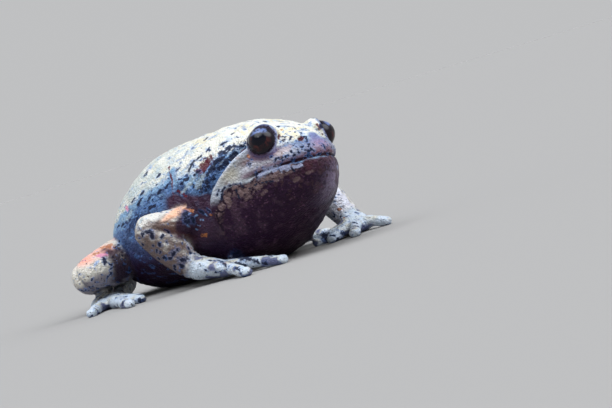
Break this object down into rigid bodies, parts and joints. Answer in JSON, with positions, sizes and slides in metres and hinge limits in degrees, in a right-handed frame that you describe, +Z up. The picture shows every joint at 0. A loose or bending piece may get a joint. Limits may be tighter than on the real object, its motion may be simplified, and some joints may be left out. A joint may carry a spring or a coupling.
{
  "type": "model frog",
  "caption": "Life-size still model of a narrow-mouthed frog, sitting with raised head, bulging eyes, elbows out and hind legs folded against a broad rounded body.",
  "frame": {"origin": "on the floor, under the centre of the frog's box", "axes": "+X the way the frog faces, +Y to its left, +Z up"},
  "size_m": [0.0566, 0.054, 0.025],
  "materials": {
    "skin": "moist satin, cream back, blue-grey flanks, dark spots",
    "eye": "wet gloss"
  },
  "bodies": {
    "root": {"head": "skin", "torso": "skin", "eye_right": "eye", "eye_left": "eye", "upper_arm_right": "skin", "forearm_right": "skin", "hand_right": "skin", "upper_arm_left": "skin", "forearm_left": "skin", "hand_left": "skin", "thigh_right": "skin", "shank_right": "skin", "foot_right": "skin", "thigh_left": "skin", "shank_left": "skin", "foot_left": "skin"}
  },
  "joints": []
}
